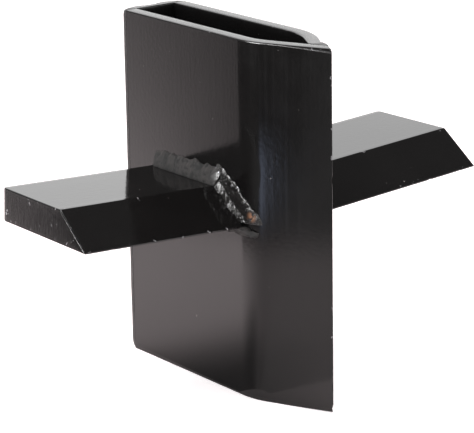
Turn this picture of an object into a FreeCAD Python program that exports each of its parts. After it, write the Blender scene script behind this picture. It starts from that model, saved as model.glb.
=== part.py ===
"""Slip-on four-way log splitter wedge, a welded steel assembly. Millimetres.

A hollow sleeve, open at the top and the bottom, slides down over the single
vertical blade of a log splitter.  Its nose takes over as the cutting edge, and
a bevelled wing on each flank splits the log the other way.

Frame: +Z up, -Y towards the nose, +X to the right seen from behind the nose.
The origin is the middle of the parallel part of the blade slot, at the bottom rim.
"""
import FreeCAD, Part
import math
import os

from FreeCAD import Vector

# ---- driving dimensions ----------------------------------------------------
HEIGHT = 203.0              # 8 in sleeve
PLATE = 8.0                 # cheek plates
SLOT_WIDTH = 26.0           # takes a 25 mm blade
SLOT_LENGTH = 112.0         # parallel part of the slot, shoulder to heel
HEEL_PLATE = 5.5            # plate that closes the back
HEEL_OVERLAP = 3.0          # how far the heel plate covers each cheek's end
CORNER_RADIUS = 4.0         # rear corners, welded and ground round
CROWN_WIDTH = 12.0          # the corner welds lap this far over the heel plate
CROWN_HEIGHT = 1.5          # and stand this proud of it

LEFT_BEND_RADIUS = 40.0     # outside radius of the left cheek's bend
LEFT_NOSE_ANGLE = 24.2      # degrees between the left nose leaf and the YZ plane
LEFT_SHOULDER_SET = 0.0     # shoulder, where flank and leaf lines cross, behind the slot's front end
RIGHT_BEND_RADIUS = 50.0
RIGHT_NOSE_ANGLE = 29.6
RIGHT_SHOULDER_SET = -5.2
NOSE_LENGTH = 45.9          # slot's front end to the cutting edge
ROOT_GAP = 0.9              # gap between the right leaf's end and the left leaf
EDGE_PROUD = 1.5            # the left leaf's end stands this far out of the right leaf's face
NOSE_GROOVE = 9.0           # depth of the weld groove down the right side of the nose

WING_THICKNESS = 19.0       # 3/4 in bar
WING_CHORD = 82.8           # bottom face, front to back
WING_BEVEL = 24.3           # how far the bevel sets the top edge back
WING_EDGE = 0.8             # flat left on the cutting edge of a wing
WING_TOP = 117.5            # top of the wing where it meets the flank
WING_BACK = 87.7            # back of the wing at the flank, behind the slot's front end
WING_SWEEP = 1.17           # degrees back
WING_RISE = 2.65            # degrees up
LEFT_WING_REACH = 103.6     # flank to end face, along the cutting edge
RIGHT_WING_REACH = 125.4
RIGHT_WING_FORWARD = 6.9    # the right wing sits this much nearer the nose
WING_CORNER = 3.0           # rounded back corner of the end face

TOP_BEAD = (10.5, 3.5)      # wing fillet welds: leg up the flank, leg out along the wing
BEVEL_BEAD = (14.0, 2.6)
REAR_BEAD = (5.0, 5.0)      # behind and under the wing
BEAD_BULGE = 0.10           # crown height, as a share of the two legs added up
BEAD_SINK = 5.0             # drawn this deep into the flank, then cut back to the plate's face

# ---- derived dimensions ----------------------------------------------------
FLANK = SLOT_WIDTH / 2 + PLATE
SLOT_FRONT = -SLOT_LENGTH / 2
SLOT_BACK = SLOT_LENGTH / 2
HEEL_FACE = SLOT_BACK + HEEL_PLATE
TIP = SLOT_FRONT - NOSE_LENGTH
FAR = 400.0                 # larger than the whole part


def flat(points, height=HEIGHT, base=0.0):
    """Closed outline of straight runs, raised along Z."""
    corners = [Vector(x, y, base) for x, y in points]
    face = Part.Face(Part.makePolygon(corners + corners[:1]))
    return face.extrude(Vector(0, 0, height))


class Cheek:
    """Plan geometry of one bent cheek plate. side is -1 for left, +1 for right."""

    def __init__(self, side, radius, angle, shoulder_set):
        self.side = side
        self.angle = math.radians(angle)
        self.radius = radius
        self.shoulder = SLOT_FRONT + shoulder_set
        self.bend_start = self.shoulder + radius * math.tan(self.angle / 2)
        self.along = Vector(-side * math.sin(self.angle), -math.cos(self.angle), 0)
        self.inward = Vector(-side * math.cos(self.angle), math.sin(self.angle), 0)

    def on_bend(self, turn, depth):
        """Point at a turn angle round the bend, a depth below the outer face."""
        reach = self.radius - depth
        x = FLANK - self.radius + reach * math.cos(turn)
        return Vector(self.side * x, self.bend_start - reach * math.sin(turn), 0)

    def leaf_point(self, run, depth):
        return self.on_bend(self.angle, 0) + self.along * run + self.inward * depth

    def band(self, depth_out, depth_in, back, run):
        """Plate between two depths, from y = back round the bend and along the leaf."""
        side = self.side
        start_out = Vector(side * (FLANK - depth_out), back, 0)
        start_in = Vector(side * (FLANK - depth_in), back, 0)
        outer = [self.on_bend(self.angle * k / 2, depth_out) for k in range(3)]
        inner = [self.on_bend(self.angle * k / 2, depth_in) for k in range(3)]
        edges = [
            Part.LineSegment(start_out, outer[0]).toShape(),
            Part.Arc(*outer).toShape(),
            Part.LineSegment(outer[2], self.leaf_point(run, depth_out)).toShape(),
            Part.LineSegment(self.leaf_point(run, depth_out), self.leaf_point(run, depth_in)).toShape(),
            Part.LineSegment(self.leaf_point(run, depth_in), inner[2]).toShape(),
            Part.Arc(*reversed(inner)).toShape(),
            Part.LineSegment(inner[0], start_in).toShape(),
            Part.LineSegment(start_in, start_out).toShape(),
        ]
        return Part.Face(Part.Wire(edges)).extrude(Vector(0, 0, HEIGHT))

    def beyond(self, depth):
        """Everything on the far side of the leaf's own line, deeper than depth."""
        base = self.leaf_point(0, depth)
        far = [base - self.along * FAR, base + self.along * FAR]
        far += [point + self.inward * FAR for point in reversed(far)]
        return flat([(point.x, point.y) for point in far])


LEFT = Cheek(-1, LEFT_BEND_RADIUS, LEFT_NOSE_ANGLE, LEFT_SHOULDER_SET)
RIGHT = Cheek(1, RIGHT_BEND_RADIUS, RIGHT_NOSE_ANGLE, RIGHT_SHOULDER_SET)


def rear_envelope():
    """The sleeve's outline at the back, with its ground corners, and open forward."""
    radius = CORNER_RADIUS
    arc_y = HEEL_FACE - radius
    diagonal = radius * math.sqrt(0.5)
    points = {
        side: (
            Vector(side * FLANK, arc_y, 0),
            Vector(side * (FLANK - radius + diagonal), arc_y + diagonal, 0),
            Vector(side * (FLANK - radius), HEEL_FACE, 0),
        )
        for side in (-1, 1)
    }
    front_left = Vector(-FLANK, -FAR, 0)
    front_right = Vector(FLANK, -FAR, 0)
    edges = [
        Part.LineSegment(front_left, points[-1][0]).toShape(),
        Part.Arc(*points[-1]).toShape(),
        Part.LineSegment(points[-1][2], points[1][2]).toShape(),
        Part.Arc(*reversed(points[1])).toShape(),
        Part.LineSegment(points[1][0], front_right).toShape(),
        Part.LineSegment(front_right, front_left).toShape(),
    ]
    return Part.Face(Part.Wire(edges)).extrude(Vector(0, 0, HEIGHT))


def nose_trim():
    """The half space behind the blunt cutting edge."""
    return flat([(-FAR, TIP), (FAR, TIP), (FAR, FAR), (-FAR, FAR)])


def left_cheek_plate():
    plate = LEFT.band(0, PLATE, SLOT_BACK, FAR)
    plate = plate.common(RIGHT.beyond(-EDGE_PROUD))     # end bevelled along the right leaf
    return plate.common(nose_trim()).common(rear_envelope())


def nose_seam_weld():
    """Weld in the groove between the right leaf's end and the left leaf's inner face."""
    normal = LEFT.inward
    across = RIGHT.along.dot(normal)

    def meeting(depth):
        """Where a line in the right leaf, at a depth, crosses the left leaf's inner face."""
        base = RIGHT.leaf_point(0, depth)
        return base + RIGHT.along * ((LEFT.leaf_point(0, PLATE) - base).dot(normal) / across)

    toe = meeting(-EDGE_PROUD)
    heel = meeting(0) - RIGHT.along * NOSE_GROOVE
    root = toe - LEFT.along * NOSE_GROOVE
    return flat([(p.x, p.y) for p in (toe, heel, root)])


def right_cheek_plate():
    plate = RIGHT.band(0, PLATE, SLOT_BACK, FAR)
    plate = plate.common(LEFT.beyond(PLATE + ROOT_GAP))
    return plate.cut(nose_seam_weld()).common(rear_envelope())


def heel_plate():
    half = SLOT_WIDTH / 2 + HEEL_OVERLAP
    plate = flat([(-half, SLOT_BACK), (half, SLOT_BACK), (half, HEEL_FACE), (-half, HEEL_FACE)])
    return plate.common(rear_envelope())


def heel_weld(side):
    """Corner weld that fills the open corner and crowns over the heel plate's edge."""
    inner = SLOT_WIDTH / 2 + HEEL_OVERLAP
    corner = flat([
        (side * inner, SLOT_BACK), (side * FLANK, SLOT_BACK),
        (side * FLANK, HEEL_FACE), (side * inner, HEEL_FACE),
    ]).common(rear_envelope())
    outer_toe = Vector(side * (inner + 1), HEEL_FACE, 0)
    inner_toe = Vector(side * (inner - CROWN_WIDTH), HEEL_FACE, 0)
    crest = (outer_toe + inner_toe) * 0.5 + Vector(0, CROWN_HEIGHT, 0)
    keel = Vector(side * inner, HEEL_FACE - 4, 0)
    crown = Part.Face(Part.Wire([
        Part.Arc(outer_toe, crest, inner_toe).toShape(),
        Part.LineSegment(inner_toe, keel).toShape(),
        Part.LineSegment(keel, outer_toe).toShape(),
    ])).extrude(Vector(0, 0, HEIGHT))
    return corner.fuse(crown.cut(heel_plate())).removeSplitter()


def wing(side):
    """Bevelled bar, its root cut flush against the flank, its end sawn square."""
    reach = LEFT_WING_REACH if side < 0 else RIGHT_WING_REACH
    back = SLOT_FRONT + WING_BACK - (RIGHT_WING_FORWARD if side > 0 else 0)
    front = back - WING_CHORD
    bottom = WING_TOP - WING_THICKNESS
    section = [
        (back, bottom), (back, WING_TOP), (front + WING_BEVEL, WING_TOP),
        (front, bottom + WING_EDGE), (front, bottom),
    ]
    along = Vector(side, math.tan(math.radians(WING_SWEEP)), math.tan(math.radians(WING_RISE)))
    start = -10.0           # begins inside the flank and is trimmed there
    base = Vector(side * FLANK, 0, 0)
    corners = [base + along * start + Vector(0, y, z) for y, z in section]
    length = reach + 40.0 - start
    bar = Part.Face(Part.makePolygon(corners + corners[:1])).extrude(along * length)
    tip = base + along * reach + Vector(0, front, bottom)
    unit = Vector(along).normalize()
    saw = Part.makeBox(FAR, FAR, FAR, Vector(-FAR / 2, -FAR / 2, 0))
    saw.Placement = FreeCAD.Placement(tip, FreeCAD.Rotation(Vector(0, 0, 1), unit)).multiply(saw.Placement)
    bar = bar.cut(saw)
    bar = bar.cut(Part.makeBox(FAR, FAR, FAR, Vector(-side * FAR / 2 - FAR / 2 + side * FLANK, -FAR / 2, -FAR / 2)))
    tall = [edge for edge in bar.Edges if is_back_corner(edge, side, reach, back)]
    return bar.makeFillet(WING_CORNER, tall)


def is_back_corner(edge, side, reach, back):
    """The upright edge where a wing's end face meets its back face."""
    middle = edge.CenterOfMass
    upright = abs(edge.tangentAt(edge.FirstParameter).z) > 0.9
    return upright and abs(middle.x) > FLANK + reach - 12 and middle.y > back - 5


def bead(start, end, out_a, out_b, legs):
    """Convex fillet weld along the corner from start to end, with legs along out_a and out_b."""
    leg_a, leg_b = legs
    toe_a = start + out_a * leg_a
    toe_b = start + out_b * leg_b
    bulge = BEAD_BULGE * (leg_a + leg_b)
    crown = (toe_a + toe_b) * 0.5 + (out_a * leg_b + out_b * leg_a).normalize() * bulge
    keel = start - (out_a + out_b) * 1.5            # reaches into the corner, trimmed by the plates
    edges = [
        Part.Arc(toe_a, crown, toe_b).toShape(),
        Part.LineSegment(toe_b, toe_b - out_a * 2).toShape(),
        Part.LineSegment(toe_b - out_a * 2, keel).toShape(),
        Part.LineSegment(keel, toe_a - out_b * BEAD_SINK).toShape(),
        Part.LineSegment(toe_a - out_b * BEAD_SINK, toe_a).toShape(),
    ]
    return Part.Face(Part.Wire(edges)).extrude(end - start)


def wing_welds(side, plate, bar):
    """Fillet welds round a wing's root: top, bevel, rear and underside."""
    back = SLOT_FRONT + WING_BACK - (RIGHT_WING_FORWARD if side > 0 else 0)
    front = back - WING_CHORD
    bottom = WING_TOP - WING_THICKNESS
    flank = side * FLANK
    top_back = Vector(flank, back, WING_TOP)
    top_front = Vector(flank, front + WING_BEVEL, WING_TOP)
    edge_front = Vector(flank, front, bottom + WING_EDGE)
    low_front = Vector(flank, front, bottom)
    low_back = Vector(flank, back, bottom)
    out = Vector(side, 0, 0)
    up = Vector(0, 0, 1)
    bevel_run = (edge_front - top_front).normalize()
    bevel_normal = Vector(0, bevel_run.z, -bevel_run.y)
    lead = 2.0
    raw = {
        "top": bead(top_back, top_front, up, out, TOP_BEAD),
        "bevel": bead(top_front, edge_front - up * lead, bevel_normal, out, BEVEL_BEAD),
        "rear": bead(top_back, low_back, Vector(0, 1, 0), out, REAR_BEAD),
        "underside": bead(low_back, low_front + Vector(0, lead, 0), up * -1, out, REAR_BEAD),
    }
    done = {}
    for name, shape in raw.items():
        shape = shape.cut(plate).cut(bar)
        for earlier in done.values():
            shape = shape.cut(earlier)
        done[name] = max(shape.Solids, key=lambda solid: solid.Volume)
    return done


def build():
    parts = {
        "left_cheek_plate": left_cheek_plate(),
        "right_cheek_plate": right_cheek_plate(),
        "heel_plate": heel_plate(),
        "nose_seam_weld": nose_seam_weld(),
        "left_heel_weld": heel_weld(-1),
        "right_heel_weld": heel_weld(1),
        "left_wing": wing(-1),
        "right_wing": wing(1),
    }
    for side, name in ((-1, "left"), (1, "right")):
        plate = parts[name + "_cheek_plate"]
        for place, shape in wing_welds(side, plate, parts[name + "_wing"]).items():
            parts[f"{name}_wing_{place}_weld"] = shape
    return parts


os.makedirs("parts", exist_ok=True)
for node, shape in build().items():
    shape.exportStep(f"parts/{node}.step")
    box = shape.BoundBox
    print(f"{node:28s} solids {len(shape.Solids)} valid {shape.isValid()} volume {shape.Volume:9.1f} "
          f"x {box.XMin:7.1f} {box.XMax:7.1f} y {box.YMin:7.1f} {box.YMax:7.1f} z {box.ZMin:6.1f} {box.ZMax:6.1f}")
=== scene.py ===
import bmesh
import bpy
import math
import random
from mathutils import Matrix, Vector, noise


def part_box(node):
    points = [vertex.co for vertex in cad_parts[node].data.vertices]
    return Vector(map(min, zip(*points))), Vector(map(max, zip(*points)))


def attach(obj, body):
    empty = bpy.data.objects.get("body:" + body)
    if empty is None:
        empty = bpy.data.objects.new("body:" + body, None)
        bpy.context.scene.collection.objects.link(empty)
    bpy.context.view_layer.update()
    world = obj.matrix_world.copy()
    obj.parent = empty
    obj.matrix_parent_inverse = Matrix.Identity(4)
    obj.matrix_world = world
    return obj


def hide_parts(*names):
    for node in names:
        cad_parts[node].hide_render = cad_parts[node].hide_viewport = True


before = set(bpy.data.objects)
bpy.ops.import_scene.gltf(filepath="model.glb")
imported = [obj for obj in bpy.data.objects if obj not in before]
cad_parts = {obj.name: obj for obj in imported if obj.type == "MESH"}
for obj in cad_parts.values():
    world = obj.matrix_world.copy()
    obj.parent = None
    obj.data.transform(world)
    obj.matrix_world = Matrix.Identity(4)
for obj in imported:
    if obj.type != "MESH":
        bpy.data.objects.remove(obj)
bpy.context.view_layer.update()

# A slip-on four-way log splitter wedge in black enamel: two bent cheek plates, a heel
# plate, two bevelled wings and the welds between them. Metres, +Z up, nose towards -Y.

# ---- sizes -----------------------------------------------------------------
CHEEK_LOW, CHEEK_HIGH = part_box("left_cheek_plate")
HEEL_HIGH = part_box("heel_plate")[1]
WELD_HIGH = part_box("left_heel_weld")[1]
HEIGHT = CHEEK_HIGH.z
FLANK = -CHEEK_LOW.x
TIP = CHEEK_LOW.y
SLOT_BACK = CHEEK_HIGH.y
SLOT_FRONT = -SLOT_BACK
HEEL_FACE = HEEL_HIGH.y
HEEL_HALF = HEEL_HIGH.x
CROWN_FACE = WELD_HIGH.y
CROWN_INNER = -WELD_HIGH.x
PLATE = 0.008                      # cheek plates' thickness
CORNER_RADIUS = 0.004              # heel welds, ground round
ROOT_GAP = 0.0009                  # between the nose leaves, under the seam weld
EDGE_PROUD = 0.0015                # the left leaf runs on past the right leaf's face
NOSE_GROOVE = 0.009                # width of the seam weld's groove
WING_THICKNESS = 0.019
WING_BEVEL = 0.0243                # the bevel's length along Y
WING_EDGE = 0.0008                 # height of the blunt front edge below it
WING_SWEEP = math.tan(math.radians(1.17))
WING_RISE = math.tan(math.radians(2.65))
WING_CORNER = 0.003                # rounding of the sawn end's rear corner
TOP_BEAD = (0.0105, 0.0035)        # fillet welds: leg up the flank, leg out along the wing
BEVEL_BEAD = (0.014, 0.0028)
REAR_BEAD = (0.005, 0.005)
QUARTER = math.pi / 2

random.seed(27)


# ---- mesh helpers ----------------------------------------------------------
def skin(name, loops, smooth_angle=38, coat=None):
    """A closed mesh through equal loops of (point, edge wear) pairs, capped at both ends.

    coat(point) gives how dull and how heat-tinted the paint is there.
    """
    bm = bmesh.new()
    wear = bm.verts.layers.float.new("edge")
    dull = bm.verts.layers.float.new("dull")
    tint = bm.verts.layers.float.new("tint")
    rows = []
    for loop in loops:
        row = []
        for point, mark in loop:
            vertex = bm.verts.new(point)
            vertex[wear] = mark
            if coat:
                vertex[dull], vertex[tint] = coat(point)
            row.append(vertex)
        rows.append(row)
    count = len(rows[0])
    for row, following in zip(rows, rows[1:]):
        for i in range(count):
            j = (i + 1) % count
            bm.faces.new((row[i], row[j], following[j], following[i]))
    bm.faces.new(rows[0][::-1])
    bm.faces.new(rows[-1])
    bmesh.ops.triangulate(bm, faces=[face for face in bm.faces if len(face.verts) > 4])
    bmesh.ops.recalc_face_normals(bm, faces=bm.faces)
    mesh = bpy.data.meshes.new(name)
    bm.to_mesh(mesh)
    bm.free()
    mesh.shade_smooth()
    mesh.set_sharp_from_angle(angle=math.radians(smooth_angle))
    piece = bpy.data.objects.new(name, mesh)
    bpy.context.scene.collection.objects.link(piece)
    return piece


def spread(start, stop, count, margin=0.0006):
    """Evenly spaced values from start to stop, with one more a margin inside each end."""
    sign = 1 if stop > start else -1
    first = start + sign * margin
    last = stop - sign * margin
    return [start] + [first + (last - first) * k / count for k in range(count + 1)] + [stop]


def ripple(value):
    """Soft asymmetric wave from 0 to 1 with period 1, steep on one side as weld ripples are."""
    steepness, fullness = 1.5, 0.8
    return math.sin(math.pi * (value % 1.0) ** steepness) ** fullness


def nicks(length, count, depth, width):
    """A function of the distance along an edge: how deep small dents cut into it there."""
    shallowest, narrowest = 0.3, 0.5
    dents = [
        (random.uniform(0, length), depth * random.uniform(shallowest, 1),
         width * random.uniform(narrowest, 1))
        for _ in range(count)
    ]
    return lambda s: max([0.0] + [d * (1 - ((s - at) / w) ** 2) for at, d, w in dents])


def finish_piece(piece, node, material):
    """Painted, fixed to the root body, and shown in place of its CAD node."""
    piece.data.materials.append(material)
    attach(piece, "root")
    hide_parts(node)


# ---- materials -------------------------------------------------------------
PAINT_IOR = 1.5
PAINT_SPECULAR = 0.5
MIX_FACTOR, MIX_A, MIX_B, MIX_RESULT = 0, 6, 7, 2    # sockets of the Mix node for colours

ENAMEL = (0.0038, 0.0036, 0.0036, 1)
ENAMEL_WORN = (0.0062, 0.0058, 0.0057, 1)
# duller enamel, a little lighter than the plain: inside the slot the lighter colour is painted light
# lifting its shade, and the heel takes some of it too
DULL_ENAMEL_AND_PAINTED_LIGHT = (0.005, 0.0048, 0.0048, 1)
DUST = (0.16, 0.15, 0.14, 1)
BARE_STEEL = (0.5, 0.5, 0.52, 1)

GLOSSY_WELD = (0.005, 0.005, 0.005, 1)
GLOSSY_WELD_WORN = (0.02, 0.019, 0.018, 1)
DULL_WELD = (0.009, 0.0085, 0.008, 1)
DULL_WELD_PALE = (0.028, 0.025, 0.024, 1)
# painted shade: near black for the hollows between the dull bead's lumps
CREVICE_SHADE = (0.004, 0.004, 0.004, 1)
HEAT_TINT = (0.3, 0.15, 0.08, 1)
RUBBED_WELD = (0.42, 0.42, 0.45, 1)


class Paint:
    """A node material on one Principled shader, with short calls for the usual nodes."""

    def __init__(self, name):
        self.material = bpy.data.materials.new(name)
        self.material.use_nodes = True
        self.tree = self.material.node_tree
        self.shader = self.tree.nodes["Principled BSDF"]
        self.shader.inputs["IOR"].default_value = PAINT_IOR
        self.shader.inputs["Specular IOR Level"].default_value = PAINT_SPECULAR
        self.place = self.tree.nodes.new("ShaderNodeTexCoord").outputs["Object"]

    def set(self, socket, value):
        """A link if the value is another node's output, or else a constant."""
        if isinstance(value, bpy.types.NodeSocket):
            self.tree.links.new(value, socket)
        else:
            socket.default_value = value

    def grain(self, scale, stretch=(1, 1, 1), detail=2.0, roughness=0.5):
        """Noise in the object's own space, scale waves to a metre."""
        mapping = self.tree.nodes.new("ShaderNodeMapping")
        self.set(mapping.inputs["Vector"], self.place)
        mapping.inputs["Scale"].default_value = stretch
        node = self.tree.nodes.new("ShaderNodeTexNoise")
        self.set(node.inputs["Vector"], mapping.outputs["Vector"])
        node.inputs["Scale"].default_value = scale
        node.inputs["Detail"].default_value = detail
        node.inputs["Roughness"].default_value = roughness
        return node.outputs["Fac"]

    def ramp(self, value, low, high, out_low=0.0, out_high=1.0):
        """Smooth step from out_low, where the value is low, to out_high."""
        node = self.tree.nodes.new("ShaderNodeMapRange")
        node.interpolation_type = "SMOOTHSTEP"
        self.set(node.inputs["Value"], value)
        node.inputs["From Min"].default_value = low
        node.inputs["From Max"].default_value = high
        node.inputs["To Min"].default_value = out_low
        node.inputs["To Max"].default_value = out_high
        return node.outputs["Result"]

    def math(self, operation, a, b):
        node = self.tree.nodes.new("ShaderNodeMath")
        node.operation = operation
        self.set(node.inputs[0], a)
        self.set(node.inputs[1], b)
        return node.outputs[0]

    def mix(self, factor, a, b):
        node = self.tree.nodes.new("ShaderNodeMix")
        node.data_type = "RGBA"
        self.set(node.inputs[MIX_FACTOR], factor)
        self.set(node.inputs[MIX_A], a)
        self.set(node.inputs[MIX_B], b)
        return node.outputs[MIX_RESULT]

    def add_share(self, total, amount, share):
        return self.math("ADD", total, self.math("MULTIPLY", amount, share))

    def bump(self, height, distance, onto=None):
        node = self.tree.nodes.new("ShaderNodeBump")
        node.inputs["Strength"].default_value = 1.0
        node.inputs["Distance"].default_value = distance
        self.set(node.inputs["Height"], height)
        if onto is not None:
            self.set(node.inputs["Normal"], onto)
        return node.outputs["Normal"]

    def facing(self, axis):
        """How far the surface faces up or down the given axis, 0 to 1."""
        geometry = self.tree.nodes.new("ShaderNodeNewGeometry")
        split = self.tree.nodes.new("ShaderNodeSeparateXYZ")
        self.set(split.inputs[0], geometry.outputs["Normal"])
        return self.math("ABSOLUTE", split.outputs[axis], 0.0)

    def mark(self, name):
        """What skin wrote on the mesh under that name."""
        node = self.tree.nodes.new("ShaderNodeAttribute")
        node.attribute_name = name
        return node.outputs["Fac"]

    def finish(self, colour, roughness, metallic, normal):
        self.set(self.shader.inputs["Base Color"], colour)
        self.set(self.shader.inputs["Roughness"], roughness)
        self.set(self.shader.inputs["Metallic"], metallic)
        self.set(self.shader.inputs["Normal"], normal)
        return self.material


def enamel(name, grain_axis, cut_axis, gloss):
    """Glossy black enamel over mill-finished plate, sawn where it faces along cut_axis."""
    upright = 2
    along_grain = tuple(0.07 if axis == grain_axis else 6 for axis in range(3))
    across_cut = (1, 9, 9) if cut_axis == upright else (9, 9, 0.35)
    paint = Paint(name)
    peel = paint.grain(430, detail=1.5)
    brush = paint.grain(90, stretch=along_grain, detail=3)
    patches = paint.grain(38, detail=4, roughness=0.6)
    fine = paint.grain(1900, detail=1)
    saw = paint.grain(150, stretch=across_cut, detail=4, roughness=0.7)
    specks = paint.ramp(paint.grain(640, detail=0), 0.9, 0.93)
    cut = paint.ramp(paint.facing(cut_axis), 0.9, 0.985)
    inside = paint.mark("dull")
    chips = paint.ramp(paint.grain(330, detail=5), 0.655, 0.69)
    chipped = paint.math("MULTIPLY", paint.mark("edge"), chips)
    chipped = paint.math("MULTIPLY", chipped, paint.ramp(patches, 0.42, 0.58))

    colour = paint.mix(patches, ENAMEL, ENAMEL_WORN)
    # where marked dull the colour moves to the lighter dull enamel: inside the slot that is painted light
    for cover, layer in ((inside, DULL_ENAMEL_AND_PAINTED_LIGHT), (specks, DUST), (chipped, BARE_STEEL)):
        colour = paint.mix(cover, colour, layer)

    roughness = paint.ramp(patches, 0.3, 0.75, gloss, gloss + 0.05)
    roughness = paint.math("ADD", roughness, paint.ramp(brush, 0.35, 0.75, 0.0, 0.04))
    for amount, extra in ((cut, 0.1), (inside, 0.12), (specks, 0.4), (chipped, 0.22)):
        roughness = paint.add_share(roughness, amount, extra)

    normal = paint.bump(peel, distance=0.000022)
    normal = paint.bump(brush, distance=0.00001, onto=normal)
    normal = paint.bump(fine, distance=0.0000016, onto=normal)
    normal = paint.bump(paint.math("MULTIPLY", cut, saw), distance=0.00006, onto=normal)
    normal = paint.bump(paint.math("SUBTRACT", 1.0, chipped), distance=0.00008, onto=normal)
    return paint.finish(colour, roughness, chipped, normal)


def weld_paint(name):
    """Enamel over weld metal: glossy or, where marked, dull grey with painted shade in its hollows, with
    a spot of heat tint.
    """
    paint = Paint(name)
    lumps = paint.grain(300, detail=4, roughness=0.6)
    fine = paint.grain(1300, detail=3)
    patches = paint.grain(140, detail=4, roughness=0.6)
    dull = paint.mark("dull")
    tinted = paint.math("MULTIPLY", paint.mark("tint"), paint.ramp(lumps, 0.42, 0.56))
    rubbed = paint.math("MULTIPLY", paint.mark("edge"), paint.ramp(paint.grain(420, detail=3), 0.66, 0.7))
    rubbed = paint.math("MULTIPLY", rubbed, paint.math("SUBTRACT", 1.0, dull))

    glossy_colour = paint.mix(patches, GLOSSY_WELD, GLOSSY_WELD_WORN)
    dull_colour = paint.mix(paint.ramp(patches, 0.35, 0.65), DULL_WELD, DULL_WELD_PALE)
    # the dull grey goes near black in the lumps' hollows: painted crevice shade
    dull_colour = paint.mix(paint.ramp(lumps, 0.4, 0.5), CREVICE_SHADE, dull_colour)
    colour = paint.mix(dull, glossy_colour, dull_colour)
    colour = paint.mix(tinted, colour, HEAT_TINT)
    colour = paint.mix(rubbed, colour, RUBBED_WELD)

    roughness = paint.add_share(paint.ramp(patches, 0.3, 0.7, 0.12, 0.22), dull, 0.66)

    normal = paint.bump(lumps, distance=0.0006)
    normal = paint.bump(fine, distance=0.00003, onto=normal)
    return paint.finish(colour, roughness, rubbed, normal)


SLEEVE_PAINT = enamel("sleeve_enamel", grain_axis=2, cut_axis=2, gloss=0.075)
WING_PAINT = enamel("wing_enamel", grain_axis=0, cut_axis=0, gloss=0.05)
WELD_PAINT = weld_paint("weld_enamel")


# ---- cheek plates ----------------------------------------------------------
class Cheek:
    """Plan geometry of one bent cheek plate. side is -1 for left, +1 for right."""

    def __init__(self, side, radius, angle, shoulder_set):
        """angle is in degrees, and shoulder_set moves the bend along Y."""
        self.side = side
        self.angle = math.radians(angle)
        self.radius = radius
        self.shoulder = SLOT_FRONT + shoulder_set
        self.bend_start = self.shoulder + radius * math.tan(self.angle / 2)
        self.along = Vector((-side * math.sin(self.angle), -math.cos(self.angle)))
        self.inward = Vector((-side * math.cos(self.angle), math.sin(self.angle)))

    def on_bend(self, turn, depth):
        """The point that far round the bend, at a depth behind the outer face."""
        reach = self.radius - depth
        x = FLANK - self.radius + reach * math.cos(turn)
        return Vector((self.side * x, self.bend_start - reach * math.sin(turn)))

    def leaf_point(self, run, depth):
        return self.on_bend(self.angle, 0) + self.along * run + self.inward * depth

    def run_to(self, base, normal, depth):
        """Run along the leaf, at a depth, to the line through base with that normal."""
        start = self.leaf_point(0, depth)
        return (base - start).dot(normal) / self.along.dot(normal)


LEFT = Cheek(side=-1, radius=0.040, angle=24.2, shoulder_set=0.0)
RIGHT = Cheek(side=1, radius=0.050, angle=29.6, shoulder_set=-0.0052)


def seam_corners():
    """Toe, heel and root of the weld groove on the right side of the nose, in plan."""
    def meeting(depth):
        base = LEFT.leaf_point(0, PLATE)
        return RIGHT.leaf_point(RIGHT.run_to(base, LEFT.inward, depth), depth)

    toe = meeting(-EDGE_PROUD)
    return toe, meeting(0) - RIGHT.along * NOSE_GROOVE, toe - LEFT.along * NOSE_GROOVE


def left_leaf_end(depth):
    """Bevelled along the right leaf, and blunt at the cutting edge."""
    bevel = LEFT.run_to(RIGHT.leaf_point(0, -EDGE_PROUD), RIGHT.inward, depth)
    blunt = LEFT.run_to(Vector((0, TIP)), Vector((0, 1)), depth)
    return min(bevel, blunt)


def right_leaf_end(depth):
    """Stops a root gap short of the left leaf, with the weld groove cut into its outer side."""
    toe, heel, root = seam_corners()
    groove = (root - heel).orthogonal()
    stop = RIGHT.run_to(LEFT.leaf_point(0, PLATE + ROOT_GAP), LEFT.inward, depth)
    return min(stop, RIGHT.run_to(heel, groove, depth))


def plate_section(outer, inner, low, high, rounding):
    """Rounded outline of a plate's cross-section as (depth, z, edge wear, faces out)."""
    outer_steps, inner_steps, arc_steps, rim_steps = 112, 34, 4, 3
    face_wear, rim_wear, inner_edge_wear, edge_wear = 0.0, 0.25, 0.6, 1.0
    small = min(rounding, 0.0005)
    ease = small * 0.3
    outline = [(outer, z, face_wear, True) for z in spread(low + rounding, high - rounding, outer_steps)]
    for k in range(1, arc_steps):
        turn = QUARTER * k / arc_steps
        outline.append((outer + rounding * (1 - math.cos(turn)),
                        high - rounding * (1 - math.sin(turn)), edge_wear, True))
    for k in range(rim_steps + 1):
        depth = outer + rounding + (inner - small - outer - rounding) * k / rim_steps
        outline.append((depth, high, rim_wear, False))
    outline.append((inner - ease, high - ease, inner_edge_wear, False))
    for z in spread(high - small, low + small, inner_steps):
        outline.append((inner, z, face_wear, False))
    outline.append((inner - ease, low + ease, inner_edge_wear, False))
    for k in range(rim_steps + 1):
        depth = inner - small + (outer + rounding - inner + small) * k / rim_steps
        outline.append((depth, low, rim_wear, False))
    for k in range(1, arc_steps):
        turn = QUARTER * k / arc_steps
        outline.append((outer + rounding * (1 - math.sin(turn)),
                        low + rounding * (1 - math.cos(turn)), edge_wear, True))
    return outline


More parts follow.
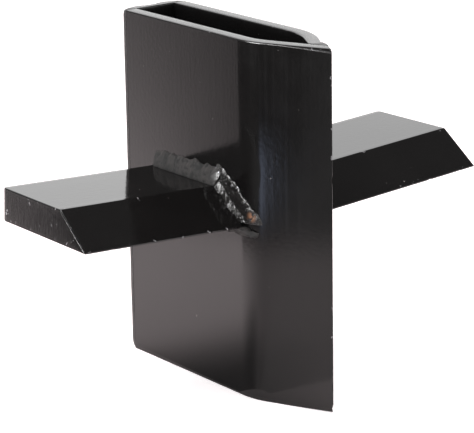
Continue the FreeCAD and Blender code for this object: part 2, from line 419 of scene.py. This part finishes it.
def cheek_plate(cheek, leaf_end, tip_round, seed):
    """The bent plate as a run of sections from its rear end, round the bend, to the nose."""
    flank_steps, bend_steps, leaf_steps, end_steps = 30, 14, 26, 4
    rim_round, nose_extra = 0.0005, 0.0016     # outer rim's rounding, and how much it grows to the nose
    unevenness = 0.00016
    worn_height = 0.003                        # the bottom rim's dents fade out this far up
    stations = [("flank", y) for y in spread(SLOT_BACK, cheek.bend_start, flank_steps)]
    stations += [("bend", cheek.angle * k / bend_steps) for k in range(1, bend_steps + 1)]
    stations += [("leaf", k / leaf_steps) for k in range(1, leaf_steps)]
    stations += [("end", QUARTER * k / end_steps) for k in range(end_steps + 1)]
    nose_dents = nicks(length=HEIGHT, count=9, depth=0.0007, width=0.0022)
    rim_dents = nicks(length=0.17, count=9, depth=0.0006, width=0.002)

    def place(kind, value, depth, trim):
        if kind == "flank":
            return Vector((cheek.side * (FLANK - depth), value))
        if kind == "bend":
            return cheek.on_bend(value, depth)
        run = leaf_end(depth) * value if kind == "leaf" else leaf_end(depth) - trim
        return cheek.leaf_point(run, depth)

    loops = []
    travelled = 0.0
    before = None
    for kind, value in stations:
        nose_share = {"leaf": value ** 2, "end": 1.0}.get(kind, 0.0)
        rounding = rim_round + nose_extra * nose_share
        gap = tip_round * (1 - math.sin(value)) if kind == "end" else 0.0
        cut = tip_round * (1 - math.cos(value)) if kind == "end" else 0.0
        middle = place(kind, value, 0.0, gap)
        if before is not None:
            travelled += (middle - before).length
        before = middle
        loop = []
        for depth, z, mark, outward in plate_section(cut, PLATE, cut, HEIGHT - cut, rounding):
            if outward:
                wave = noise.noise(Vector((travelled * 16, z * 13, seed)))
                depth += unevenness * (0.5 + 0.5 * wave)
                if z < worn_height:
                    z += rim_dents(travelled) * (1 - z / worn_height)
            trim = gap
            if kind == "end" and outward:
                trim += nose_dents(z)
                mark = 1.0
            spot = place(kind, value, depth, trim)
            loop.append((Vector((spot.x, spot.y, z)), mark))
        loops.append(loop)
    return loops


def depth_in(cheek, point):
    """How far a point lies behind the cheek's outer face."""
    here = Vector((point.x, point.y))
    if point.y > cheek.bend_start:
        return FLANK - cheek.side * point.x
    bend_end = cheek.on_bend(cheek.angle, 0)
    if (here - bend_end).dot(cheek.along) > 0:
        return (here - bend_end).dot(cheek.inward)
    centre = Vector((cheek.side * (FLANK - cheek.radius), cheek.bend_start))
    return cheek.radius - (here - centre).length


def slot_coat(cheek):
    """Thin rough paint on the faces inside the slot, where little of the spray reaches; there the enamel
    also takes a lighter colour, painted light that lifts the slot's shade.
    """
    lowest, highest = 0.002, HEIGHT - 0.001

    def coat(point):
        deep = depth_in(cheek, point) > 0.9 * PLATE and lowest < point.z < highest
        return (1.0 if deep else 0.0), 0.0

    return coat


left_cheek = skin("left_cheek", cheek_plate(LEFT, left_leaf_end, tip_round=0.0005, seed=3.1),
                  coat=slot_coat(LEFT))
right_cheek = skin("right_cheek", cheek_plate(RIGHT, right_leaf_end, tip_round=0.0002, seed=8.6),
                   coat=slot_coat(RIGHT))
finish_piece(left_cheek, "left_cheek_plate", SLEEVE_PAINT)
finish_piece(right_cheek, "right_cheek_plate", SLEEVE_PAINT)


# ---- heel plate and upright welds ------------------------------------------
FINE_ROUND = 0.0004
COARSE_ROUND = 0.0006
SEMI_GLOSS = 0.35


def column(name, outline, step, rounding):
    """An upright piece with rounded ends: outline(z, inset) gives its plan at each level."""
    arc_steps = 3
    arc = []
    for k in range(arc_steps + 1):
        turn = QUARTER * k / arc_steps
        arc.append((rounding * (1 - math.cos(turn)), rounding * (1 - math.sin(turn))))
    count = round((HEIGHT - 2 * rounding) / step)
    levels = [rounding + (HEIGHT - 2 * rounding) * k / count for k in range(1, count)]
    loops = [outline(lift, inset) for lift, inset in arc]
    loops += [outline(z, 0.0) for z in levels]
    loops += [outline(HEIGHT - lift, inset) for lift, inset in reversed(arc)]
    return skin(name, loops, coat=lambda point: (SEMI_GLOSS, 0.0))


def heel_outline(z, inset):
    """Heel plate in plan, bowed in a little between its welds."""
    steps, bow_depth = 8, 0.0002
    corners = [
        (-HEEL_HALF, SLOT_BACK), (HEEL_HALF, SLOT_BACK), (HEEL_HALF, HEEL_FACE), (-HEEL_HALF, HEEL_FACE),
    ]
    points = []
    for (x, y), (to_x, to_y) in zip(corners, corners[1:] + corners[:1]):
        for k in range(steps):
            px = x + (to_x - x) * k / steps
            py = y + (to_y - y) * k / steps
            wave = noise.noise(Vector((px * 60, z * 14, 5)))
            bow = bow_depth * (1 - (px / HEEL_HALF) ** 2) * (1 + wave)
            if abs(px) > HEEL_HALF - inset:
                px -= math.copysign(inset, px)
            if py < SLOT_BACK + inset:
                py += inset
            if py > HEEL_FACE - 1e-6:
                py -= inset + bow
            points.append((Vector((px, py, z)), 1.0 if inset else 0.0))
    return points


def ground_off(z):
    """How much is ground off the heel's corners near the bottom and the top rim."""
    low_reach, low_cut = 0.006, 0.0018
    high_reach, high_cut = 0.0035, 0.0012
    if z < low_reach:
        return low_cut * (1 - math.sqrt(max(0.0, 1 - ((low_reach - z) / low_reach) ** 2)))
    if z > HEIGHT - high_reach:
        over = (z - HEIGHT + high_reach) / high_reach
        return high_cut * (1 - math.sqrt(max(0.0, 1 - over ** 2)))
    return 0.0


def upright_ripple(z, share, pitch, bow, seed):
    """Ripple of an upright weld, share of the way across it, bowed like a bead laid upwards."""
    stray = 0.3 * noise.noise(Vector((share * 2, seed, z * 90)))
    return ripple(z / pitch + bow * math.sin(math.pi * share) + stray)


def heel_weld_outline(side):
    """Corner fill ground to a radius, with a rippled crown lapping over the heel plate."""
    centre = Vector((FLANK - CORNER_RADIUS, HEEL_FACE - CORNER_RADIUS))
    toe_x = HEEL_HALF + 0.0008
    lap = 0.00015
    sunk = 0.0006
    arc_steps, crown_steps = 9, 16
    ground_wear, crown_wear = 0.15, 0.45

    def outline(z, inset):
        wobble = 0.00025 * (1 + noise.noise(Vector((side * 4, 7, z * 38))))
        ground = ground_off(z)
        points = [(Vector((FLANK - inset - ground * 0.3, SLOT_BACK)), ground_wear)]
        for k in range(arc_steps + 1):
            turn = QUARTER * k / arc_steps
            radius = CORNER_RADIUS - inset - ground - wobble * math.sin(math.pi * k / arc_steps) * 0.7
            points.append((centre + radius * Vector((math.cos(turn), math.sin(turn))), ground_wear))
        toe = Vector((toe_x, points[-1][0].y))
        inner = Vector((CROWN_INNER + inset, HEEL_FACE - lap))
        for k in range(1, crown_steps + 1):
            share = k / crown_steps
            wave = upright_ripple(z, share, pitch=0.0034, bow=0.55, seed=1)
            rise = (CROWN_FACE - HEEL_FACE + sunk) * (0.8 + 0.2 * wave) - inset
            spot = toe.lerp(inner, share)
            spot.y = min(CROWN_FACE, spot.y + rise * math.sin(math.pi * share) ** 0.8)
            points.append((spot, crown_wear))
        points.append((Vector((CROWN_INNER + inset, HEEL_FACE - sunk)), 0.0))
        points.append((Vector((HEEL_HALF - lap, HEEL_FACE - sunk)), 0.0))
        points.append((Vector((HEEL_HALF - lap, SLOT_BACK - lap + inset)), 0.0))
        return [(Vector((side * p.x, p.y, z)), mark) for p, mark in points]

    return outline


def seam_outline(z, inset):
    """Nose seam weld: fills the groove and stands a little proud of it, in ripples."""
    steps, wear, sunk = 14, 0.7, 0.0001
    toe, heel, root = seam_corners()
    out = (toe - heel).orthogonal().normalized()
    if out.dot(root - heel) > 0:
        out = -out
    points = []
    for k in range(steps + 1):
        share = k / steps
        wave = upright_ripple(z, share, pitch=0.0032, bow=0.5, seed=3)
        rise = (0.0003 + 0.0007 * wave) * math.sin(math.pi * share) - inset
        points.append((heel.lerp(toe, share) + out * rise, wear))
    points.append((root + (root - heel).normalized() * sunk, 0.0))
    return [(Vector((p.x, p.y, z)), mark) for p, mark in points]


heel = column("heel", heel_outline, step=0.006, rounding=COARSE_ROUND)
finish_piece(heel, "heel_plate", SLEEVE_PAINT)
for side, word in ((-1, "left"), (1, "right")):
    piece = column(word + "_heel_bead", heel_weld_outline(side), step=0.0007, rounding=COARSE_ROUND)
    finish_piece(piece, word + "_heel_weld", WELD_PAINT)
seam = column("nose_seam_bead", seam_outline, step=0.0007, rounding=FINE_ROUND)
finish_piece(seam, "nose_seam_weld", WELD_PAINT)


# ---- wings -----------------------------------------------------------------
class Wing:
    """Where one wing's bar lies. Its section keeps its place in Y and Z along the bar."""

    def __init__(self, side, node):
        self.side = side
        low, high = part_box(node)
        self.bottom = low.z
        self.top = low.z + WING_THICKNESS
        self.front = low.y
        self.run = Vector((side, WING_SWEEP, WING_RISE))
        self.unit = self.run.normalized()
        # the lowest front corner of the sawn end is the farthest point of the bar
        self.reach = max(abs(low.x), abs(high.x)) - FLANK
        self.back = high.y - WING_SWEEP * (self.reach - WING_CORNER)

    def corners(self, pull):
        """The section's corners as (y, z), with its back drawn forward by pull."""
        back = self.back - pull
        return [
            (self.front, self.bottom), (back, self.bottom), (back, self.top),
            (self.front + WING_BEVEL, self.top), (self.front, self.bottom + WING_EDGE),
        ]


def turns_of(corners):
    """Each corner with the directions of the sides that come to it and leave it."""
    count = len(corners)
    for i in range(count):
        before, here, after = (Vector(corners[(i + k) % count]) for k in (-1, 0, 1))
        yield here, (here - before).normalized(), (after - here).normalized()


def inset_corners(corners, amount):
    """Convex outline moved inward by one amount on every side."""
    moved = []
    for here, first, second in turns_of(corners):
        normal = Vector((-first.y, first.x)) + Vector((-second.y, second.x))
        share = amount / (1 + first.dot(second))
        moved.append(here + normal * share)
    return moved


def rounded(corners, radii, divisions):
    """Outline with rounded corners as (y, z, edge wear, corner index), evenly divided."""
    arc_steps = 4
    arcs = []
    for (here, first, second), radius in zip(turns_of(corners), radii):
        turn = first.angle(second)
        back_off = radius * math.tan(turn / 2)
        centre = here - first * back_off + Vector((-first.y, first.x)) * radius
        start = here - first * back_off - centre
        spins = [Matrix.Rotation(turn * k / arc_steps, 2) for k in range(arc_steps + 1)]
        arcs.append([centre + spin @ start for spin in spins])
    outline = []
    for i, arc in enumerate(arcs):
        for k, point in enumerate(arc):
            outline.append((point.x, point.y, 1.0 if 0 < k < arc_steps else 0.5, i))
        following = arcs[(i + 1) % len(arcs)][0]
        for k in range(1, divisions[i]):
            spot = arc[-1].lerp(following, k / divisions[i])
            outline.append((spot.x, spot.y, 0.0, None))
    return outline


def wing_loops(wing, seed):
    """Sections along the bar, the last ones drawn in to round the sawn end."""
    ease = 0.0007                        # rounding of the sawn end's edges
    radii = [0.0003, 0.0012, 0.0011, 0.0009, 0.0003]
    bevel_corner, bevel_growth, growth_reach = 3, 0.0012, 0.004
    leading_corners = (0, 4)
    divisions = [26, 6, 18, 12, 1]
    unevenness, end_wear = 0.0001, 0.6
    sections, corner_steps = 60, 8
    chips = nicks(length=wing.reach, count=4, depth=0.0004, width=0.0018)
    stops = [wing.reach * k / sections for k in range(sections + 1)]
    plan = [(s, 0.0) for s in stops if s < wing.reach - WING_CORNER]
    for k in range(corner_steps + 1):
        turn = QUARTER * k / corner_steps
        plan.append((wing.reach - WING_CORNER * (1 - math.sin(turn)), WING_CORNER * (1 - math.cos(turn))))
    loops = []
    for s, pull in plan:
        near = max(0.0, s - (wing.reach - ease))
        inset = ease - math.sqrt(max(0.0, ease ** 2 - near ** 2))
        growth = max(0.0, 1 - (wing.reach - s) / growth_reach) ** 2
        here = list(radii)
        here[bevel_corner] += bevel_growth * growth
        outline = rounded(inset_corners(wing.corners(pull), inset), here, divisions)
        loop = []
        for y, z, mark, corner in outline:
            spot = Vector((s * 18, y * 22, z * 22 + seed))
            dip = unevenness * (0.5 + 0.5 * noise.noise(spot))
            if corner in leading_corners:
                y += chips(s)
                z += chips(s) * 0.3
            if corner is None:
                z += dip if z < wing.bottom + 0.001 else -dip
            square = ((y - wing.front) * wing.unit.y + (z - wing.bottom) * wing.unit.z) / wing.run.length
            base = Vector((wing.side * FLANK, y, z))
            point = base + wing.run * (s * (wing.reach - square) / wing.reach)
            loop.append((point, max(mark, end_wear if inset > 0 else 0.0)))
        loops.append(loop)
    return loops


WINGS = {"left": Wing(-1, "left_wing"), "right": Wing(1, "right_wing")}
for word, wing in WINGS.items():
    seed = 2.3 if word == "left" else 9.7
    piece = skin(word + "_wing_bar", wing_loops(wing, seed), smooth_angle=50)
    finish_piece(piece, word + "_wing", WING_PAINT)


# ---- fillet welds round the wings ------------------------------------------
def settle(point, cheek):
    """The point moved in to follow the cheek's outer face round the bend."""
    past = min(max(0.0, cheek.bend_start - point.y), cheek.radius * math.sin(cheek.angle))
    drop = cheek.radius - math.sqrt(cheek.radius ** 2 - past ** 2)
    return point - Vector((cheek.side * drop, 0, 0))


def crown(share, hollow):
    """Height of a bead over its leg, from 1 at the corner to 0 at the far toe."""
    shelf_height, slope_width = 0.35, 0.36
    slope = max(0.0, 1 - share / slope_width)
    convex = (1 - share ** 2) ** 0.75
    shelf = (shelf_height + (1 - shelf_height) * slope) * math.sqrt(1 - share ** 8)
    return convex + (shelf - convex) * hollow


def bead(start, end, side_a, side_b, legs, seed, pitch, ends, lean, flare, hollow):
    """Loops of a rippled fillet weld in the corner between faces that rise along side_a and side_b.

    pitch is the length of a ripple, ends says how round each end is, lean how far the toe on
    side_a runs on past each end, flare how much wider that leg gets towards the second end,
    and hollow how dished the bead is.
    """
    section_length, across = 0.0004, 18
    lap = 0.0001                         # the toes go this far under the faces
    sunk = -0.0006                       # and the hidden corner of the bead this far
    forward_bow = 0.0006
    leg_a, leg_b = legs
    end_reach = max(legs) * 0.45
    length = (end - start).length
    direction = (end - start).normalized()
    count = round(length / section_length)

    def wander(scale, s, layer):
        return noise.noise(Vector((s * scale, seed, layer)))

    loops = []
    for i in range(count + 1):
        s = length * i / count
        swell = 1.0 + 0.12 * wander(90, s, 0) + 0.05 * wander(300, s, 4)
        for distance, strength in ((s, ends[0]), (length - s, ends[1])):
            if distance < end_reach:
                share = distance / end_reach
                swell *= 1 - strength * (1 - math.sqrt(max(0.02, 1 - (1 - share) ** 2)))
        first, second = (1 - s / length) ** 3, (s / length) ** 3
        run_on = lean[1] * second - lean[0] * first
        toe_a = 1 + 0.13 * wander(170, s, 31) + flare * second
        toe_b = 1 + 0.13 * wander(150, s, 47)
        loop = []
        for k in range(across + 1):
            turn = QUARTER * k / across
            bow = math.sin(2 * turn)
            wave = ripple(s / pitch + 0.75 * bow + 0.5 * wander(130, s, turn))
            lump = noise.noise(Vector((s * 260, turn * 1.8, seed + 9)))
            tall = swell * (0.92 + 0.08 * wave * bow ** 0.5 + 0.16 * lump * bow)
            a = leg_a * tall * toe_a * math.cos(turn)
            b = leg_b * tall * toe_b * crown(math.cos(turn), hollow)
            run = s + forward_bow * bow + run_on * math.cos(turn)
            point = start + direction * run + side_a * (a - lap) + side_b * (b - lap)
            loop.append((point, 0.25 + 0.75 * wave * bow))
        for share_on, a, b in ((0, sunk, leg_b * 0.5), (0, sunk, sunk), (0.5, leg_a * 0.5, sunk)):
            loop.append((start + direction * (s + run_on * share_on) + side_a * a + side_b * b, 0.0))
        loops.append(loop)
    return loops


def wing_beads(word, wing, cheek):
    """The four welds round a wing's root, each its own piece."""
    x = wing.side * FLANK
    out = Vector((wing.side, 0, 0))
    up = Vector((0, 0, 1))
    back = Vector((0, 1, 0))
    top_back = Vector((x, wing.back, wing.top))
    top_front = Vector((x, wing.front + WING_BEVEL, wing.top))
    edge_front = Vector((x, wing.front, wing.bottom + WING_EDGE))
    low_front = Vector((x, wing.front, wing.bottom))
    low_back = Vector((x, wing.back, wing.bottom))
    bevel = (edge_front - top_front).normalized()
    bevel_normal = Vector((0, bevel.z, -bevel.y))
    burnt = edge_front + bevel * 0.001 + bevel_normal * 0.0088
    burnt_radius = 0.0036
    dull_start, dull_fade = top_front.y - 0.004, 0.006
    underside_dull = 0.75

    def coat(point):
        """Dull grey along the top, glossy down the bevel, tinted at that bead's low end."""
        dull = min(1.0, max(0.0, (point.y - dull_start) / dull_fade))
        if point.z < wing.bottom + 0.001:
            dull = underside_dull
        return dull, max(0.0, 1 - (point - burnt).length / burnt_radius)

    runs = {
        "top": dict(
            start=top_back, end=top_front - back * 0.001, side_a=up, legs=TOP_BEAD, pitch=0.0042,
            ends=(1, 0.2), lean=(0.0005, 0.004), flare=0.12, hollow=0),
        "bevel": dict(
            start=top_front - bevel * 0.002, end=edge_front - bevel * 0.003, side_a=bevel_normal,
            legs=BEVEL_BEAD, pitch=0.0036, ends=(0.25, 0.35), lean=(0.005, 0.011), flare=0.1, hollow=0.9),
        "rear": dict(
            start=top_back, end=low_back, side_a=back, legs=REAR_BEAD, pitch=0.0034,
            ends=(1, 1), lean=(0, 0), flare=0, hollow=0),
        "underside": dict(
            start=low_back, end=low_front - back * 0.003, side_a=-up, legs=REAR_BEAD, pitch=0.0034,
            ends=(1, 0.8), lean=(0, 0.007), flare=0, hollow=0.3),
    }
    for k, (place, run) in enumerate(runs.items()):
        loops = bead(side_b=out, seed=11.0 * wing.side + 3.7 * k, **run)
        loops = [[(settle(point, cheek), mark) for point, mark in loop] for loop in loops]
        piece = skin(f"{word}_{place}_bead", loops, smooth_angle=80, coat=coat)
        finish_piece(piece, f"{word}_wing_{place}_weld", WELD_PAINT)


for (word, wing), cheek in zip(WINGS.items(), (LEFT, RIGHT)):
    wing_beads(word, wing, cheek)


# ---- camera ----------------------------------------------------------------
CAMERA_PLACE = Vector((-0.787348, -1.043016, 0.472399))
CAMERA_AZIMUTH = math.radians(-37.5134)
CAMERA_ELEVATION = math.radians(16.34)
CAMERA_ROLL = math.radians(-0.9198)
SENSOR_WIDTH = 36
FOCAL_LENGTH = 181.955
FARTHEST_SEEN = 50


def add_camera():
    level = Matrix.Rotation(math.pi / 2 - CAMERA_ELEVATION, 4, "X")
    turned = Matrix.Rotation(CAMERA_AZIMUTH, 4, "Z") @ level @ Matrix.Rotation(CAMERA_ROLL, 4, "Z")
    camera = bpy.data.objects.new("camera", bpy.data.cameras.new("camera"))
    camera.matrix_world = Matrix.Translation(CAMERA_PLACE) @ turned
    camera.data.sensor_width = SENSOR_WIDTH
    camera.data.lens = FOCAL_LENGTH
    camera.data.clip_end = FARTHEST_SEEN
    bpy.context.scene.collection.objects.link(camera)
    bpy.context.scene.camera = camera


# ---- studio ----------------------------------------------------------------
def new_tree(owner):
    """The owner's node tree, emptied, with calls to add a node and to link two sockets."""
    owner.use_nodes = True
    tree = owner.node_tree
    tree.nodes.clear()
    return tree.nodes.new, tree.links.new


def add_stage_piece(name, mesh, material, only_in_reflections):
    mesh.materials.append(material)
    piece = bpy.data.objects.new(name, mesh)
    bpy.context.scene.collection.objects.link(piece)
    if only_in_reflections:
        piece.visible_camera = False
        piece.visible_diffuse = False
        piece.visible_shadow = False
        piece.visible_transmission = False


def add_floor():
    """A plain floor, lifted to white where the camera sees it."""
    half, z = 8, -0.0001
    lift = 0.5
    mesh = bpy.data.meshes.new("floor")
    corners = [(-half, -half, z), (half, -half, z), (half, half, z), (-half, half, z)]
    mesh.from_pydata(corners, [], [(0, 1, 2, 3)])
    material = bpy.data.materials.new("floor_white")
    material.use_nodes = True
    tree = material.node_tree
    shader = tree.nodes["Principled BSDF"]
    shader.inputs["Base Color"].default_value = (0.90, 0.83, 0.84, 1)
    shader.inputs["Roughness"].default_value = 0.9
    shader.inputs["Specular IOR Level"].default_value = 0.0
    shader.inputs["Emission Color"].default_value = (1, 1, 1, 1)
    path = tree.nodes.new("ShaderNodeLightPath")
    strength = tree.nodes.new("ShaderNodeMath")
    strength.operation = "MULTIPLY"
    strength.inputs[1].default_value = lift
    tree.links.new(path.outputs["Is Camera Ray"], strength.inputs[0])
    tree.links.new(strength.outputs[0], shader.inputs["Emission Strength"])
    add_stage_piece("floor", mesh, material, only_in_reflections=False)


def add_area(name, place, aim, size, power, glossy, colour=(1, 1, 1)):
    """An oval lamp, seen either only in reflections or only by the floor and matt surfaces."""
    light = bpy.data.lights.new(name, "AREA")
    light.shape = "ELLIPSE"
    light.size, light.size_y = size
    light.energy = power
    light.color = colour
    lamp = bpy.data.objects.new(name, light)
    lamp.location = place
    lamp.rotation_euler = (Vector(aim) - Vector(place)).to_track_quat("-Z", "Y").to_euler()
    lamp.visible_glossy = glossy
    lamp.visible_diffuse = not glossy
    lamp.visible_camera = False
    bpy.context.scene.collection.objects.link(lamp)


def blend(value, low, high):
    """Smooth step from 0 at low to 1 at high."""
    share = min(1.0, max(0.0, (value - low) / (high - low)))
    return share * share * (3 - 2 * share)


def mat_look(spot, radius, azimuth):
    """How much of the floor the mat hides there, and its colour: dark, with a painted shadow near the
    flank and one glowing cool strip that paints the bend's highlight.
    """
    inner = 0.46 * blend(azimuth, 127, 180)
    outer = 0.66 * blend(azimuth, 116, 127) + 0.32 * blend(azimuth, 126.8, 129)
    bend = blend(azimuth, 128, 134)
    away = blend(radius, 0.27 - 0.04 * bend, 0.41 - 0.06 * bend)
    # painted shadow: near the flank the mat darkens the floor in reflections, standing in for the
    # object's contact shadow there
    painted_floor_shadow = 0.8 * (1 - blend(spot.y, -0.03, 0.075)) * (1 - blend(radius, 0.13, 0.26))
    painted_floor_shadow *= 1 - 0.7 * blend(azimuth, 145, 178)
    # gap is no hole in the mat: it is a glowing cool strip, a painted highlight that the bend reflects
    gap = blend(azimuth, 168, 173) * (1 - blend(azimuth, 176.5, 179))
    gap *= blend(radius, 0.30, 0.40) * (1 - blend(radius, 0.48, 0.60))
    dark = 0.06 + 0.24 * blend(azimuth, 179, 182.5)
    return max(painted_floor_shadow, inner + (outer - inner) * away), [dark + cool * gap for cool in (1.2, 1.4, 1.9)]


def add_mat():
    """A dark mat on the floor round the left shoulder, seen only in reflections, where it paints dark
    reflections, a shadow and a highlight into the paint.
    """
    shoulder = Vector((-FLANK, LEFT.shoulder))
    rings, turns = 80, 130
    near, far = 0.012, 1.6
    first, last = math.radians(91), math.radians(235)
    height = 0.001
    bm = bmesh.new()
    cover = bm.verts.layers.float.new("cover")
    level = bm.verts.layers.float_vector.new("level")
    rows = []
    for i in range(rings + 1):
        radius = near * (far / near) ** (i / rings)
        row = []
        for j in range(turns + 1):
            turn = first + (last - first) * j / turns
            spot = shoulder + radius * Vector((math.cos(turn), math.sin(turn)))
            vertex = bm.verts.new((spot.x, spot.y, height))
            vertex[cover], vertex[level] = mat_look(spot, radius, math.degrees(turn))
            row.append(vertex)
        rows.append(row)
    for row, following in zip(rows, rows[1:]):
        for j in range(turns):
            bm.faces.new((row[j], row[j + 1], following[j + 1], following[j]))
    mesh = bpy.data.meshes.new("mat")
    bm.to_mesh(mesh)
    bm.free()
    material = bpy.data.materials.new("mat_dark")
    node, link = new_tree(material)
    see = node("ShaderNodeAttribute")
    see.attribute_name = "cover"
    tone = node("ShaderNodeAttribute")
    tone.attribute_name = "level"
    glow = node("ShaderNodeEmission")
    clear = node("ShaderNodeBsdfTransparent")
    mix = node("ShaderNodeMixShader")
    output = node("ShaderNodeOutputMaterial")
    link(tone.outputs["Color"], glow.inputs["Color"])
    link(see.outputs["Fac"], mix.inputs[0])
    link(clear.outputs[0], mix.inputs[1])
    link(glow.outputs[0], mix.inputs[2])
    link(mix.outputs[0], output.inputs["Surface"])
    add_stage_piece("mat", mesh, material, only_in_reflections=True)


def add_screen():
    """A dim upright screen behind and to the left, seen only in reflections."""
    distance, low, high = 1.5, 0.06, 1.0
    glow = 0.3
    near, far = (
        Vector((math.cos(math.radians(azimuth)), math.sin(math.radians(azimuth)))) * distance
        for azimuth in (108, 166)
    )
    mesh = bpy.data.meshes.new("screen")
    mesh.from_pydata([(*near, low), (*far, low), (*far, high), (*near, high)], [], [(0, 1, 2, 3)])
    material = bpy.data.materials.new("screen_dim")
    material.use_nodes = True
    shader = material.node_tree.nodes["Principled BSDF"]
    shader.inputs["Base Color"].default_value = (0, 0, 0, 1)
    shader.inputs["Specular IOR Level"].default_value = 0
    shader.inputs["Emission Color"].default_value = (1, 1, 1, 1)
    shader.inputs["Emission Strength"].default_value = glow
    add_stage_piece("screen", mesh, material, only_in_reflections=True)


def add_world():
    """White all round for the floor; in reflections, a bright band below a dim ceiling."""
    band_strength, dome_strength = 1.7, 1.3
    stops = [(0.0, 0.95), (0.42, 0.9), (0.60, 0.35), (0.72, 0.07), (1.0, 0.06)]
    world = bpy.data.worlds.new("studio")
    node, link = new_tree(world)
    direction = node("ShaderNodeTexCoord")
    split = node("ShaderNodeSeparateXYZ")
    ramp = node("ShaderNodeValToRGB")
    link(direction.outputs["Generated"], split.inputs[0])
    link(split.outputs["Z"], ramp.inputs["Fac"])
    elements = ramp.color_ramp.elements
    elements[0].position, elements[1].position = stops[0][0], stops[-1][0]
    for position, _ in stops[1:-1]:
        elements.new(position)
    for element, (_, level) in zip(elements, stops):
        element.color = (level, level, level, 1)
    band = node("ShaderNodeBackground")
    band.inputs["Strength"].default_value = band_strength
    link(ramp.outputs["Color"], band.inputs["Color"])
    dome = node("ShaderNodeBackground")
    dome.inputs["Color"].default_value = (1, 1, 1, 1)
    dome.inputs["Strength"].default_value = dome_strength
    path = node("ShaderNodeLightPath")
    mix = node("ShaderNodeMixShader")
    link(path.outputs["Is Glossy Ray"], mix.inputs[0])
    link(dome.outputs[0], mix.inputs[1])
    link(band.outputs[0], mix.inputs[2])
    output = node("ShaderNodeOutputWorld")
    link(mix.outputs[0], output.inputs["Surface"])
    bpy.context.scene.world = world


add_camera()
add_floor()
add_mat()
add_screen()
add_world()
add_area("pool", place=(-0.15, 0.15, 0.8), aim=(-0.15, 0.15, 0), size=(0.5, 0.5), power=5,
         glossy=False, colour=(1, 0.9, 0.9))
add_area("left_box", place=(-0.93, 0.20, 0.235), aim=(-0.02, -0.04, 0.11), size=(0.56, 0.22), power=10.5,
         glossy=True)
add_area("top_box", place=(0.05, 0.05, 1.5), aim=(0, 0, 0), size=(0.5, 0.5), power=8, glossy=True)
bpy.context.scene.view_settings.view_transform = "Standard"
